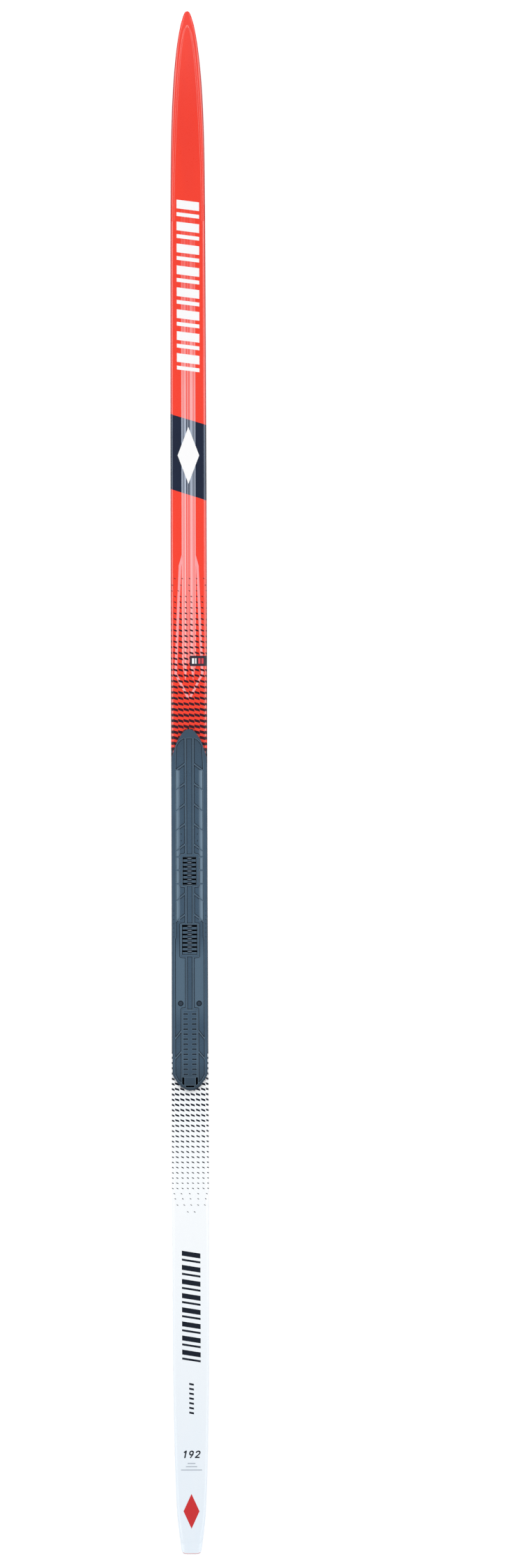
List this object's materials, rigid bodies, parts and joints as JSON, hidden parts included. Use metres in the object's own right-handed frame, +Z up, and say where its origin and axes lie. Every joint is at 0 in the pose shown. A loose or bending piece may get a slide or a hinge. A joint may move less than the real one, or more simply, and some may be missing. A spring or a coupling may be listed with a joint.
{
  "type": "cross country ski",
  "caption": "Narrow laminated skating ski with an arched, thick middle, a low pointed tip and a bare ribbed plate that a binding slides onto and locks into.",
  "frame": {"origin": "centre of the ski's footprint on the snow: halfway between tip and tail, on the centre line, at the height of the two contact zones", "axes": "+Y towards the tip, +X across the ski to the skier's right, +Z up away from the snow"},
  "size_m": [0.0458, 1.92, 0.053],
  "materials": {
    "sintered_base": "stone-ground sintered polyethylene, waxed",
    "glass_ply": "cured woven glass laminate",
    "carbon_ply": "cured unidirectional carbon laminate",
    "core_light": "sawn light core wood",
    "core_dense": "sawn dense core wood",
    "sidewall": "machined plastic edge",
    "end_insert": "moulded plastic",
    "topsheet": "printed gloss film, red front half and cool white rear half",
    "bond_film": "cured adhesive film",
    "plate_plastic": "injection moulded, fine satin grain"
  },
  "bodies": {
    "root": {"running_base": "sintered_base", "lower_biax_ply": "glass_ply", "lower_unidirectional_ply": "carbon_ply", "core_front": "core_light", "core_binding_block": "core_dense", "core_rear": "core_light", "sidewall_left": "sidewall", "sidewall_right": "sidewall", "tip_insert": "end_insert", "tail_insert": "end_insert", "upper_biax_ply": "glass_ply", "upper_unidirectional_ply": "carbon_ply", "topsheet": "topsheet", "plate_bond_film": "bond_film", "binding_plate": "plate_plastic"}
  },
  "joints": []
}
